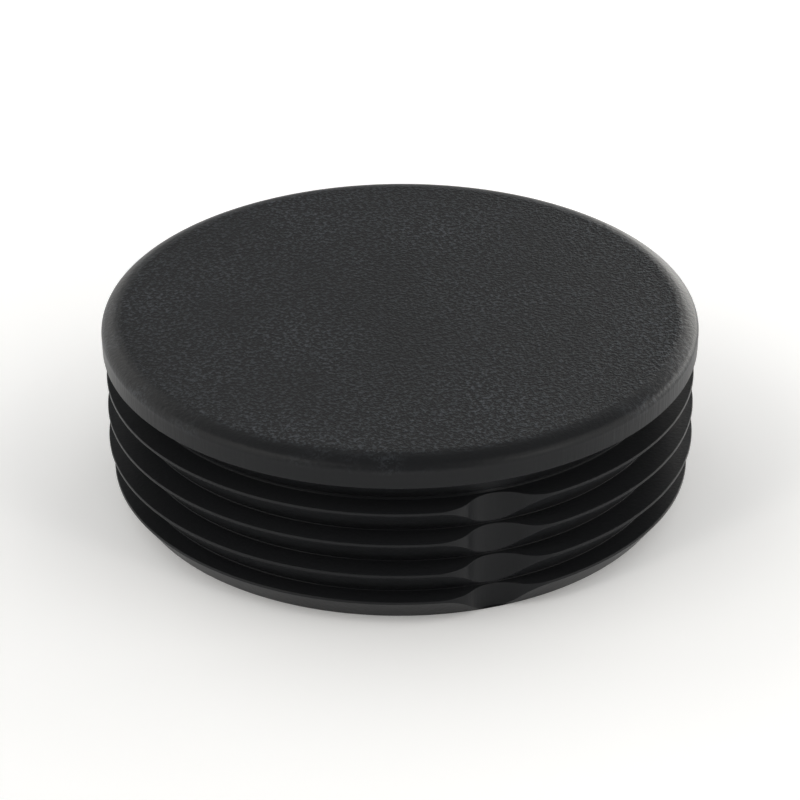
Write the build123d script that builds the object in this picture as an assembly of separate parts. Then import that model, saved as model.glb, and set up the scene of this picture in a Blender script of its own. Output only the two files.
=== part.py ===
"""Round ribbed end cap that closes the end of a steel tube.

One injection-moulded piece of soft black polyethylene: a flat round head, flush with the
outside of the tube, on a hollow insert whose fins fold back against the tube's bore.
Units are millimetres. +Z points out of the tube, and the origin is the centre of the open rim.
"""
import os
from math import radians, sin, tan

from build123d import *

# Tube that the cap is made for
tube_diameter = 100.0
tube_wall = 1.25

# Head, flush with the outside of the tube, with a flat ring under its edge as wide as the wall
head_height = 5.0  # from the ring up to the top face
head_side_draft = 2.0  # degrees, the side band narrows towards its lower edge
shoulder_side_radius = 1.5  # the shoulder rolls in from the side on a small radius
shoulder_side_turn = 60.0  # degrees of it
shoulder_crown_radius = 6.0  # and runs out into the flat top on a large one
plate_thickness = 3.2  # from the top face down to the ceiling of the hollow

# Insert
insert_depth = 26.4  # from the ring down to the rim
groove_clearance = 3.9  # from the bore to the bottoms of the grooves, where the fins fold
rim_chamfer = 0.3

# Full fins, each with a flat top, a narrow upright edge and a sloping underside
fin_count = 3
fin_bite = 0.65  # how far they stand past the bore before they fold
fin_edge = 0.45  # height of the upright edge
fin_angle = 48.5  # degrees from level, the slope of the underside
fin_pitch = 5.75
first_fin_gap = 4.9  # from the ring down to the top of the first fin

# Lead fin at the rim, which starts in the bore
lead_fin_clearance = 0.15  # from the bore
lead_fin_height = 4.45  # from the rim up to its top
lead_fin_run_in = 3.0  # how far its underside slopes in on the way to the rim

# Hollow
wall = 2.4  # between the bottoms of the grooves and the mouth of the hollow
mouth_chamfer = 0.4
hollow_draft = 0.75  # degrees
ceiling_chamfer = 1.2
gate_diameter = 3.2  # stub left by the gate, in the middle of the ceiling
gate_height = 0.8
ejector_pin_count = 6
ejector_pin_diameter = 7.0
ejector_pin_inset = 11.4  # from the wall of the hollow to the pins' centres
ejector_mark_depth = 0.15

# Notches that keep the fins clear of the seams between the two halves of the mould
notch_count = 2
notch_floor = 0.45  # left of each fin in the middle of a notch
notch_nose_radius = 6.6
notch_shoulder_radius = 7.2
first_notch_angle = -90.0  # degrees about Z, so that one notch faces -Y

# Sizes that follow
head_radius = tube_diameter / 2
bore_radius = head_radius - tube_wall
fin_radius = bore_radius + fin_bite
lead_fin_radius = bore_radius - lead_fin_clearance
root_radius = bore_radius - groove_clearance
rim_radius = lead_fin_radius - lead_fin_run_in
mouth_radius = root_radius - wall
cap_height = insert_depth + head_height
ceiling = cap_height - plate_thickness
head_side_height = (
    head_height
    - shoulder_side_radius * sin(radians(shoulder_side_turn))
    - shoulder_crown_radius * (1 - sin(radians(shoulder_side_turn)))
)
head_edge_radius = head_radius - head_side_height * tan(radians(head_side_draft))
fin_rise = tan(radians(fin_angle))
lead_fin_rise = (lead_fin_height - fin_edge) / lead_fin_run_in
fin_tops = [insert_depth - first_fin_gap - i * fin_pitch for i in range(fin_count)]


def turned(section):
    """Turns a half section, drawn with X outwards and Y up, about Z."""
    return revolve(Plane.XZ * section, Axis.Z)


def head():
    """Flat disc with a drafted side band and a shoulder of two tangent arcs."""
    side_centre = (head_radius - shoulder_side_radius, insert_depth + head_side_height)
    side_arc = CenterArc(side_centre, shoulder_side_radius, 0, shoulder_side_turn)
    crown_arc = JernArc(side_arc @ 1, side_arc % 1, shoulder_crown_radius, 90 - shoulder_side_turn)
    sides = Polyline(
        crown_arc @ 1,
        (0, cap_height),
        (0, insert_depth),
        (head_edge_radius, insert_depth),
        side_arc @ 0,
    )
    return turned(make_face([side_arc, crown_arc, sides]))


def tier(bottom, bottom_radius, top, top_radius):
    """Half section of one solid tier of the insert, straight or tapered."""
    corners = [(0, bottom), (bottom_radius, bottom), (top_radius, top), (0, top)]
    return make_face(Polyline(*corners, close=True))


def taper_tier(top, top_radius):
    """Tier that slopes in from its top at the angle of the fins until it meets the root."""
    return tier(top - (top_radius - root_radius) * fin_rise, root_radius, top, top_radius)


def insert_section():
    """Half section of the solid insert, with the fins drawn out to sharp tips."""
    section = tier(0, root_radius, insert_depth, root_radius)
    section += taper_tier(insert_depth, bore_radius)
    section += [taper_tier(top, fin_radius + fin_edge / fin_rise) for top in fin_tops]
    section += tier(0, rim_radius, lead_fin_height, lead_fin_radius + fin_edge / lead_fin_rise)
    return chamfer(outer_corner(section, 0), rim_chamfer)


def outer_corner(section, level):
    """Corner furthest from the axis on the lowest (0) or highest (-1) level of a section."""
    return section.vertices().group_by(Axis.Y)[level].sort_by(Axis.X)[-1]


def fin_plan(radius):
    """Plan of a fin: a disc with a rounded notch at each seam of the mould."""
    nose_centre = root_radius + notch_floor + notch_nose_radius
    noses = PolarLocations(nose_centre, notch_count, start_angle=first_notch_angle)
    plan = Circle(radius) - noses * Circle(notch_nose_radius)
    return fillet(plan.vertices(), notch_shoulder_radius)


def insert():
    """Solid insert: the turned section, trimmed to the plans of the fins."""
    plans = extrude(fin_plan(lead_fin_radius), lead_fin_height)
    plans += Pos(0, 0, lead_fin_height) * extrude(fin_plan(fin_radius), insert_depth - lead_fin_height)
    return turned(insert_section()) & plans


def hollow_radius(height):
    """Radius of the drafted wall of the hollow at a height above the rim."""
    return mouth_radius - height * tan(radians(hollow_draft))


def hollow():
    """Drafted space inside the cap, with the marks of the gate and the ejector pins."""
    section = tier(0, mouth_radius, ceiling, hollow_radius(ceiling))
    section = chamfer(outer_corner(section, -1), ceiling_chamfer)
    section += tier(0, mouth_radius + mouth_chamfer, mouth_chamfer, hollow_radius(mouth_chamfer))
    stub = Pos(0, 0, ceiling) * Cylinder(gate_diameter / 2, 2 * gate_height)
    mark = Pos(0, 0, ceiling) * Cylinder(ejector_pin_diameter / 2, 2 * ejector_mark_depth)
    pins = PolarLocations(hollow_radius(ceiling) - ejector_pin_inset, ejector_pin_count)
    return turned(section) + pins * mark - stub


def end_cap():
    return head() + insert() - hollow()


os.makedirs("parts", exist_ok=True)
cap = end_cap()
cap.label = "end_cap"
export_step(cap, "parts/end_cap.step")
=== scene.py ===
"""Round ribbed end cap for a steel tube, on a pale floor in soft studio light."""
from math import acos, atan2, cos, hypot, pi, radians, sin, sqrt, tan

import bpy
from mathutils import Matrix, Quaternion, Vector


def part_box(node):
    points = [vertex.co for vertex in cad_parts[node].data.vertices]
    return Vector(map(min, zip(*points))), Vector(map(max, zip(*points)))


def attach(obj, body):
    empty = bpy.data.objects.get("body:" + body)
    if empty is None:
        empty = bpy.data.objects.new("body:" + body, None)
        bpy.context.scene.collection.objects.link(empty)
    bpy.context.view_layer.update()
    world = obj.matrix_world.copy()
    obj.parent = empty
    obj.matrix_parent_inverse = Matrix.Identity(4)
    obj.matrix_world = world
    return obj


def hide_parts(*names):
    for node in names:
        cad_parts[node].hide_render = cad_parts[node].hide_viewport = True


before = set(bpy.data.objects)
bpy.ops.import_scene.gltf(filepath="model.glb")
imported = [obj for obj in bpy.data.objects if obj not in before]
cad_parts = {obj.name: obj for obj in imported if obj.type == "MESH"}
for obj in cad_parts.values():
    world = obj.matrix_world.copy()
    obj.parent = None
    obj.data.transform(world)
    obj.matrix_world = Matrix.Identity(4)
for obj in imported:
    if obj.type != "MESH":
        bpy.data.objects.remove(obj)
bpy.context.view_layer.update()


# ---------------------------------------------------------------- the moulding
# One injection-moulded piece of soft black polyethylene: a flat round head on a hollow
# insert with fins. The half section is drawn from the middle of the top face out over the
# head, down past the fins to the rim and back up the hollow, and is then spun about Z.
mm = 0.001
cap_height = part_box("end_cap")[1][2]
head_radius = 50.0 * mm
shoulder_side_radius = 1.5 * mm
shoulder_crown_radius = 6.0 * mm
crown_turn = radians(30)
ring_height = 26.4 * mm
bore_radius = 48.75 * mm
root_radius = 44.85 * mm
side_draft = tan(radians(2))

fin_radius = 49.4 * mm
fin_edge = 0.45 * mm
fin_slope = tan(radians(48.5))
fin_tops = [21.5 * mm, 15.75 * mm, 10.0 * mm]
lead_fin_radius = 48.6 * mm
lead_fin_top = 4.45 * mm
rim_radius = 45.6 * mm
rim_chamfer = 0.3 * mm
lip_radius = 0.12 * mm
groove_rounding = 0.12 * mm
mouth_rounding = 0.08 * mm

mouth_radius = 42.45 * mm
mouth_chamfer = 0.4 * mm
hollow_draft = tan(radians(0.75))
ceiling = 28.2 * mm
ceiling_chamfer = 1.2 * mm
gate_radius = 1.6 * mm
gate_height = 0.8 * mm
gate_foot_radius = 0.3 * mm
gate_tip_radius = 0.1 * mm
weld_distance = 0.001 * mm

pen = Vector((0, 0, cap_height))
bpy.ops.object.select_all(action="DESELECT")
bpy.ops.mesh.primitive_plane_add(size=mm, location=pen)
cap = bpy.context.object
cap.name = "End_cap"
cap.data.name = "End_cap"
bpy.ops.object.mode_set(mode="EDIT")
bpy.ops.mesh.merge(type="CENTER")
bpy.ops.object.mode_set(mode="OBJECT")
bpy.ops.object.transform_apply(location=True, rotation=True, scale=True)
bpy.ops.object.mode_set(mode="EDIT")


def line_to(radius, height):
    """Extrudes the last point of the section in a straight line."""
    end = Vector((radius, 0, height))
    bpy.ops.mesh.extrude_vertices_move(TRANSFORM_OT_translate={"value": end - pen})
    pen[:] = end


def arc_round(centre_radius, centre_height, turn, steps):
    """Spins the last point of the section about a centre, clockwise where turn is positive."""
    centre = Vector((centre_radius, 0, centre_height))
    bpy.ops.mesh.spin(steps=steps, angle=-turn, center=centre, axis=(0, 1, 0))
    arm = pen - centre
    pen.x = centre.x + arm.x * cos(turn) + arm.z * sin(turn)
    pen.z = centre.z - arm.x * sin(turn) + arm.z * cos(turn)


def corner_to(corner, after, radius, steps=3):
    """Draws up to a corner and round it on a radius, ready to go on towards the next point."""
    corner, after = Vector((corner[0], 0, corner[1])), Vector((after[0], 0, after[1]))
    come = (corner - pen).normalized()
    go = (after - corner).normalized()
    turn = atan2(come.z * go.x - come.x * go.z, come.dot(go))
    back = radius * tan(abs(turn) / 2)
    start = corner - come * back
    side = 1 if turn > 0 else -1
    centre = start + Vector((come.z, 0, -come.x)) * radius * side
    line_to(start.x, start.z)
    arc_round(centre.x, centre.z, turn, steps)


def hollow_radius(height):
    return mouth_radius - height * hollow_draft


# head
crown_radius = (
    head_radius
    - shoulder_side_radius * (1 - sin(crown_turn))
    - shoulder_crown_radius * sin(crown_turn)
)
crown_centre = cap_height - shoulder_crown_radius
side_centre = crown_centre + (shoulder_crown_radius - shoulder_side_radius) * cos(crown_turn)
head_edge_radius = head_radius - (side_centre - ring_height) * side_draft
for share in (0.02, 0.25, 0.5, 0.75, 0.94, 1):
    line_to(crown_radius * share, cap_height)
arc_round(crown_radius, crown_centre, crown_turn, 12)
arc_round(head_radius - shoulder_side_radius, side_centre, pi / 2 - crown_turn, 14)

# below the head
cone_foot = (root_radius, ring_height - (bore_radius - root_radius) * fin_slope)
corner_to((head_edge_radius, ring_height), (bore_radius, ring_height), lip_radius)
corner_to((bore_radius, ring_height), cone_foot, groove_rounding)
corner_to(cone_foot, (root_radius, fin_tops[0]), groove_rounding)
corner_to((root_radius, fin_tops[0]), (fin_radius, fin_tops[0]), groove_rounding)

# fins, each down to the round bottom of the groove that it shares with the next one
for top, next_top, next_radius in zip(
    fin_tops, fin_tops[1:] + [lead_fin_top], [fin_radius, fin_radius, lead_fin_radius]
):
    low = top - fin_edge
    foot = (fin_radius - (low - next_top) / fin_slope, next_top)
    corner_to((fin_radius, top), (fin_radius, low), lip_radius, 4)
    corner_to((fin_radius, low), foot, lip_radius)
    corner_to(foot, (next_radius, next_top), groove_rounding, 6)
lead_fin_low = lead_fin_top - fin_edge
corner_to((lead_fin_radius, lead_fin_top), (lead_fin_radius, lead_fin_low), lip_radius, 4)
corner_to((lead_fin_radius, lead_fin_low), (rim_radius, 0), lip_radius)
corner_to((rim_radius, 0), (mouth_radius, 0), rim_chamfer)

# hollow
mouth_top = (hollow_radius(mouth_chamfer), mouth_chamfer)
ceiling_edge = (hollow_radius(ceiling), ceiling)
gate_tip = ceiling - gate_height
corner_to((mouth_radius + mouth_chamfer, 0), mouth_top, mouth_rounding)
corner_to(mouth_top, ceiling_edge, mouth_rounding)
corner_to(ceiling_edge, (gate_radius, ceiling), ceiling_chamfer, 8)
corner_to((gate_radius, ceiling), (gate_radius, gate_tip), gate_foot_radius)
corner_to((gate_radius, gate_tip), (0, gate_tip), gate_tip_radius)
line_to(0, gate_tip)

# a quarter turn, in steps of 1 degree up to the notch and of a quarter degree across it
notch_reach = radians(13)
bpy.ops.mesh.select_all(action="SELECT")
for turn, steps in ((pi / 2 - notch_reach, 77), (notch_reach, 52)):
    bpy.ops.mesh.spin(steps=steps, angle=turn, center=(0, 0, 0), axis=(0, 0, 1))
bpy.ops.object.mode_set(mode="OBJECT")

# Notches: the fins are cut back at the two seams of the mould, on a round nose between two
# round shoulders, so that no fin crosses a seam. Each edge keeps its upright lip, and its
# wall runs down to where it meets the sloping underside.
nose_radius = 6.6 * mm
shoulder_radius = 7.2 * mm
notch_floor = root_radius + 0.45 * mm
nose_centre = notch_floor + nose_radius
lip_reach = 2 * lip_radius
slack = 0.01 * mm


def edge_in_notch(turn, edge):
    """Radius of a fin's edge at a turn from the middle of a notch."""
    arm = edge - shoulder_radius
    reach = nose_radius + shoulder_radius
    swing = acos((arm**2 + nose_centre**2 - reach**2) / (2 * arm * nose_centre))
    share = shoulder_radius / reach
    meet = atan2(
        arm * sin(swing) * (1 - share),
        arm * cos(swing) * (1 - share) + nose_centre * share,
    )
    if turn >= swing:
        return edge
    if turn <= meet:
        return nose_centre * cos(turn) - sqrt(nose_radius**2 - (nose_centre * sin(turn)) ** 2)
    away = swing - turn
    return arm * cos(away) + sqrt(shoulder_radius**2 - (arm * sin(away)) ** 2)


lead_fin_slope = lead_fin_low / (lead_fin_radius - rim_radius)
edges = [(top, fin_radius, fin_slope) for top in fin_tops]
edges.append((lead_fin_top, lead_fin_radius, lead_fin_slope))
for point in cap.data.vertices:
    radius = hypot(point.co.x, point.co.y)
    turn = atan2(abs(point.co.x), abs(point.co.y))
    if turn > notch_reach:
        continue
    for top, edge, slope in edges:
        low = top - fin_edge - lip_reach
        if radius > edge - lip_reach and low < point.co.z < top + slack:
            pull = edge - edge_in_notch(turn, edge)
            if point.co.z < top - fin_edge / 2:
                floor_line = radius - pull - rim_radius + rim_chamfer
                point.co.z = max(point.co.z - pull * slope, floor_line, 0)
            point.co.x *= (radius - pull) / radius
            point.co.y *= (radius - pull) / radius
            break

# the other three quarters
mirror = cap.modifiers.new("Quarters", "MIRROR")
mirror.use_axis = (True, True, False)
mirror.merge_threshold = weld_distance
bpy.ops.object.modifier_apply(modifier="Quarters")
bpy.ops.object.mode_set(mode="EDIT")
bpy.ops.mesh.select_all(action="SELECT")
bpy.ops.mesh.remove_doubles(threshold=weld_distance)
bpy.ops.mesh.normals_make_consistent(inside=False)
bpy.ops.object.mode_set(mode="OBJECT")

# marks of the six ejector pins in the ceiling of the hollow. The twist keeps the corners of
# the round cutters off the straight edges of the ceiling.
pin_radius = 3.5 * mm
pin_circle = 30.68 * mm
mark_depth = 0.15 * mm
pin_twist = radians(1.7)
for index in range(6):
    turn = radians(60 * index)
    place = (pin_circle * cos(turn), pin_circle * sin(turn), ceiling)
    bpy.ops.mesh.primitive_cylinder_add(
        vertices=48, radius=pin_radius, depth=2 * mark_depth, location=place,
        rotation=(0, 0, turn + pin_twist),
    )
    pin = bpy.context.object
    cut = cap.modifiers.new("Ejector", "BOOLEAN")
    cut.object = pin
    bpy.context.view_layer.objects.active = cap
    bpy.ops.object.modifier_apply(modifier="Ejector")
    bpy.data.objects.remove(pin)

bpy.ops.object.select_all(action="DESELECT")
cap.select_set(True)
bpy.ops.object.shade_smooth_by_angle(angle=radians(35))
even = cap.modifiers.new("Flats", "WEIGHTED_NORMAL")
even.keep_sharp = True
bpy.ops.object.modifier_apply(modifier="Flats")


def to_linear(colour):
    """Linear red, green, blue and alpha of an sRGB hex colour."""
    parts = [int(colour[i : i + 2], 16) / 255 for i in (1, 3, 5)]
    return [p / 12.92 if p < 0.04045 else ((p + 0.055) / 1.055) ** 2.4 for p in parts] + [1.0]


def add_node(tree, kind, settings=None, **inputs):
    """Adds a node, sets its attributes and inputs, and links an input given as a node."""
    node = tree.nodes.new(kind)
    for name, value in (settings or {}).items():
        setattr(node, name, value)
    for name, value in inputs.items():
        numbered = name[0] == "i" and name[1:].isdigit()
        socket = node.inputs[int(name[1:])] if numbered else node.inputs[name.replace("_", " ")]
        if isinstance(value, bpy.types.Node):
            value = value.outputs[0]
        if isinstance(value, bpy.types.NodeSocket):
            tree.links.new(value, socket)
        else:
            socket.default_value = value
    return node


# Low-density polyethylene with carbon black, straight from the mould: it looks waxy, neither
# dull nor glossy. The top face is grained by spark erosion and so is duller, with a fine
# sparkle that is partly painted as pale glints on the grain. The shoulder, side band and fins
# come from polished steel and are satin.
plastic = bpy.data.materials.new("Black_polyethylene")
plastic.use_nodes = True
tree = plastic.node_tree
tree.nodes.clear()
place = add_node(tree, "ShaderNodeTexCoord").outputs["Object"]

# where the grain is: the flat of the top face, up to a slightly uneven line on the shoulder
grain_radius = 47.1 * mm
grain_fade = 0.9 * mm
grain_wander = 0.25 * mm
height = add_node(tree, "ShaderNodeSeparateXYZ", Vector=place).outputs["Z"]
level_place = add_node(
    tree, "ShaderNodeVectorMath", {"operation": "MULTIPLY"}, i0=place, i1=(1, 1, 0)
)
reach = add_node(tree, "ShaderNodeVectorMath", {"operation": "LENGTH"}, i0=level_place)
wander = add_node(tree, "ShaderNodeTexNoise", Vector=place, Scale=1 / (4 * mm), Detail=2.0)
wander = add_node(
    tree, "ShaderNodeMapRange", Value=wander,
    From_Min=0.3, From_Max=0.7, To_Min=-grain_wander, To_Max=grain_wander,
)
reach = add_node(tree, "ShaderNodeMath", i0=reach.outputs["Value"], i1=wander)
inside = add_node(
    tree, "ShaderNodeMapRange", {"interpolation_type": "SMOOTHSTEP"}, Value=reach,
    From_Min=grain_radius + grain_fade, From_Max=grain_radius - grain_fade,
)
on_top = add_node(
    tree, "ShaderNodeMapRange", Value=height,
    From_Min=cap_height - 0.5 * mm, From_Max=cap_height - 0.3 * mm,
)
grained = add_node(tree, "ShaderNodeMath", {"operation": "MULTIPLY"}, i0=inside, i1=on_top)
satin = add_node(tree, "ShaderNodeMath", {"operation": "SUBTRACT"}, i0=1.0, i1=grained)

# the grain itself, from 0.7 down to 0.2 mm across, coarser than a real one so that it shows,
# and a trace of it on the shoulder
grain = add_node(
    tree, "ShaderNodeTexNoise", Vector=place, Scale=1 / (0.7 * mm), Detail=2.0, Roughness=0.75
)
on_shoulder = add_node(
    tree, "ShaderNodeMapRange", Value=height,
    From_Min=cap_height - 2.6 * mm, From_Max=cap_height - 1.4 * mm, To_Max=0.3,
)
how_deep = add_node(tree, "ShaderNodeMath", {"operation": "MAXIMUM"}, i0=grained, i1=on_shoulder)
grain_depth = add_node(tree, "ShaderNodeMath", {"operation": "MULTIPLY"}, i0=grain, i1=how_deep)
bump = add_node(tree, "ShaderNodeBump", Strength=1.0, Distance=0.22 * mm, Height=grain_depth)

# drag lines of the mould on the upright faces: narrow across, long in height
drag_place = add_node(
    tree, "ShaderNodeVectorMath", {"operation": "MULTIPLY"}, i0=place, i1=(1, 1, 0.08)
)
drag = add_node(
    tree, "ShaderNodeTexNoise", Vector=drag_place, Scale=1 / (0.7 * mm), Detail=3.0
)
drag_depth = add_node(tree, "ShaderNodeMath", {"operation": "MULTIPLY"}, i0=drag, i1=satin)
bump = add_node(
    tree, "ShaderNodeBump", Strength=1.0, Distance=0.05 * mm, Height=drag_depth, Normal=bump
)

# slow changes of shine over the whole moulding, where the melt cooled unevenly
cloud = add_node(tree, "ShaderNodeTexNoise", Vector=place, Scale=1 / (22 * mm), Detail=4.0)
patchy = add_node(
    tree, "ShaderNodeMapRange", Value=cloud, From_Min=0.3, From_Max=0.7, To_Min=-0.03, To_Max=0.03
)
shine = add_node(tree, "ShaderNodeMapRange", Value=grained, To_Min=0.36, To_Max=0.58)
shine = add_node(tree, "ShaderNodeMath", i0=shine, i1=patchy)

# painted glints: pale specks on the tips of the grain that stand for its sparkle in the light,
# more of them in some places
glint_amount = add_node(
    tree, "ShaderNodeMapRange", Value=cloud, From_Min=0.3, From_Max=0.7, To_Min=0.3, To_Max=1.0
)
glint_amount = add_node(tree, "ShaderNodeMath", {"operation": "MULTIPLY"}, i0=glint_amount, i1=grained)
painted_glints = add_node(tree, "ShaderNodeMapRange", Value=grain, From_Min=0.48, From_Max=0.72)
painted_glints = add_node(tree, "ShaderNodeMath", {"operation": "MULTIPLY"}, i0=painted_glints, i1=glint_amount)

# pale scuffs on the shoulder, finely dotted
worn = add_node(tree, "ShaderNodeTexNoise", Vector=place, Scale=1 / (11 * mm), Detail=1.0)
worn = add_node(tree, "ShaderNodeMapRange", Value=worn, From_Min=0.5, From_Max=0.62)
scuffs = add_node(tree, "ShaderNodeMapRange", Value=grain, From_Min=0.45, From_Max=0.6)
for mask in (worn, on_shoulder, satin):
    scuffs = add_node(tree, "ShaderNodeMath", {"operation": "MULTIPLY"}, i0=scuffs, i1=mask)

# black, a little blue, and pale grey at the painted glints and at the scuffs
glints_and_scuffs = add_node(tree, "ShaderNodeMath", {"operation": "MAXIMUM"}, i0=painted_glints, i1=scuffs)
colour = add_node(
    tree, "ShaderNodeMix", {"data_type": "RGBA"}, Factor=glints_and_scuffs,
    i6=to_linear("#242527"), i7=to_linear("#55595f"),
)
surface = add_node(
    tree, "ShaderNodeBsdfPrincipled", Base_Color=colour.outputs[2],
    Roughness=shine, IOR=1.5, Specular_IOR_Level=0.15, Normal=bump,
)
add_node(tree, "ShaderNodeOutputMaterial", Surface=surface)
cap.data.materials.append(plastic)

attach(cap, "root")
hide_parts("end_cap")


# ------------------------------------------------------------------- the floor
# A table covered with matt white paper, wide enough to fill the view from any side.
# The paper glows a little to the camera and in reflections, and keeps the cap's shadow. Near
# the cap the glow is dimmed, a painted shadow around its foot.
table_radius = 6.0
bpy.ops.object.select_all(action="DESELECT")
bpy.ops.mesh.primitive_circle_add(
    vertices=96, radius=table_radius, fill_type="NGON", location=(0, 0, 0)
)
table = bpy.context.object
table.name = "Table"
paper = bpy.data.materials.new("White_paper")
paper.use_nodes = True
tree = paper.node_tree
tree.nodes.clear()
path = add_node(tree, "ShaderNodeLightPath").outputs
seen = add_node(
    tree, "ShaderNodeMath", {"operation": "MAXIMUM"},
    i0=path["Is Camera Ray"], i1=path["Is Glossy Ray"],
)
seen = add_node(
    tree, "ShaderNodeMath", {"operation": "MAXIMUM"}, i0=seen, i1=path["Is Transmission Ray"]
)
# the glow is dimmed where the cap hides the room from the paper: a painted shadow around the cap's
# foot
painted_shadow_ao = add_node(tree, "ShaderNodeAmbientOcclusion", {"samples": 8}, Distance=60 * mm)
glow_with_painted_shadow = add_node(
    tree, "ShaderNodeMapRange", Value=painted_shadow_ao.outputs["AO"], From_Min=0.2, To_Min=0.1, To_Max=0.4
)
glow_with_painted_shadow = add_node(tree, "ShaderNodeMath", {"operation": "MULTIPLY"}, i0=seen, i1=glow_with_painted_shadow)
sheet = add_node(
    tree, "ShaderNodeBsdfPrincipled", Base_Color=to_linear("#f6f6f6"), Roughness=0.9,
    Specular_IOR_Level=0.0, Emission_Color=(1, 1, 1, 1), Emission_Strength=glow_with_painted_shadow,
)
add_node(tree, "ShaderNodeOutputMaterial", Surface=sheet)
table.data.materials.append(paper)


# ------------------------------------------------------------------- the light
# A studio with pale, slightly cool walls, darker above the camera. Two soft boxes and a narrow
# strip light, slightly warm, stand on each side of the table. The front of it is left open,
# so that the front of the cap stays dark between its lit edges.
world = bpy.data.worlds.new("Studio")
bpy.context.scene.world = world
world.use_nodes = True
tree = world.node_tree
tree.nodes.clear()
looking = add_node(tree, "ShaderNodeTexCoord").outputs["Generated"]
side_angle = radians(-18.8)
towards_camera = Vector((sin(side_angle), -cos(side_angle), 0))
dark_angle = radians(50)
dark_side = towards_camera * cos(dark_angle) + Vector((0, 0, sin(dark_angle)))
facing = add_node(
    tree, "ShaderNodeVectorMath", {"operation": "DOT_PRODUCT"}, i0=looking, i1=dark_side
)
level = add_node(
    tree, "ShaderNodeMapRange", {"interpolation_type": "SMOOTHSTEP"},
    Value=facing.outputs["Value"], From_Min=0.0, From_Max=0.7, To_Min=0.3, To_Max=0.04,
)
walls = add_node(tree, "ShaderNodeBackground", Color=(0.95, 0.98, 1, 1), Strength=level)
add_node(tree, "ShaderNodeOutputWorld", Surface=walls)


def softbox(name, angle, away, base, size, power):
    """A soft box that stands upright at an angle from the camera's side and faces the cap."""
    turn = radians(-90) + side_angle + radians(angle)
    place = Vector((away * cos(turn), away * sin(turn), base + size[1] / 2))
    aim = (Vector((0, 0, place.z)) - place).to_track_quat("-Z", "Y").to_euler()
    bpy.ops.object.light_add(type="AREA", location=place, rotation=aim)
    lamp = bpy.context.object
    lamp.name = name
    lamp.data.shape = "RECTANGLE"
    lamp.data.size, lamp.data.size_y = size
    lamp.data.energy = power
    lamp.data.color = (1.0, 0.98, 0.94)


softbox("Left_front_softbox", -64, 0.8, 0.0, (0.9, 1.4), 5.6)
softbox("Left_back_softbox", -130, 0.8, 0.0, (1.0, 0.8), 3.2)
softbox("Left_strip", -46, 0.8, 0.4, (0.12, 0.6), 1.0)
softbox("Right_front_softbox", 68, 0.8, 0.0, (0.9, 1.4), 5.0)
softbox("Right_back_softbox", 135, 0.5, 0.0, (0.6, 0.24), 2.0)
softbox("Right_strip", 50, 0.8, 0.15, (0.12, 0.3), 0.7)


# ------------------------------------------------------------------ the camera
# A long lens that looks down on the cap, a little to the left of one notch.
distance = 0.725
height_angle = radians(29.396)
middle = Vector((0, 0, 0.015775))
outwards = towards_camera * cos(height_angle) + Vector((0, 0, sin(height_angle)))
eye = middle + distance * outwards
target = Vector((-0.00007, 0, 0.01437))
roll = Quaternion((0, 0, 1), radians(-0.312))
look = (target - eye).to_track_quat("-Z", "Y") @ roll
bpy.ops.object.camera_add(location=eye, rotation=look.to_euler())
camera = bpy.context.object
camera.data.lens = 192.8
camera.data.sensor_width = 36.0
camera.data.clip_start = 0.01
bpy.context.scene.camera = camera
bpy.context.scene.view_settings.view_transform = "Standard"
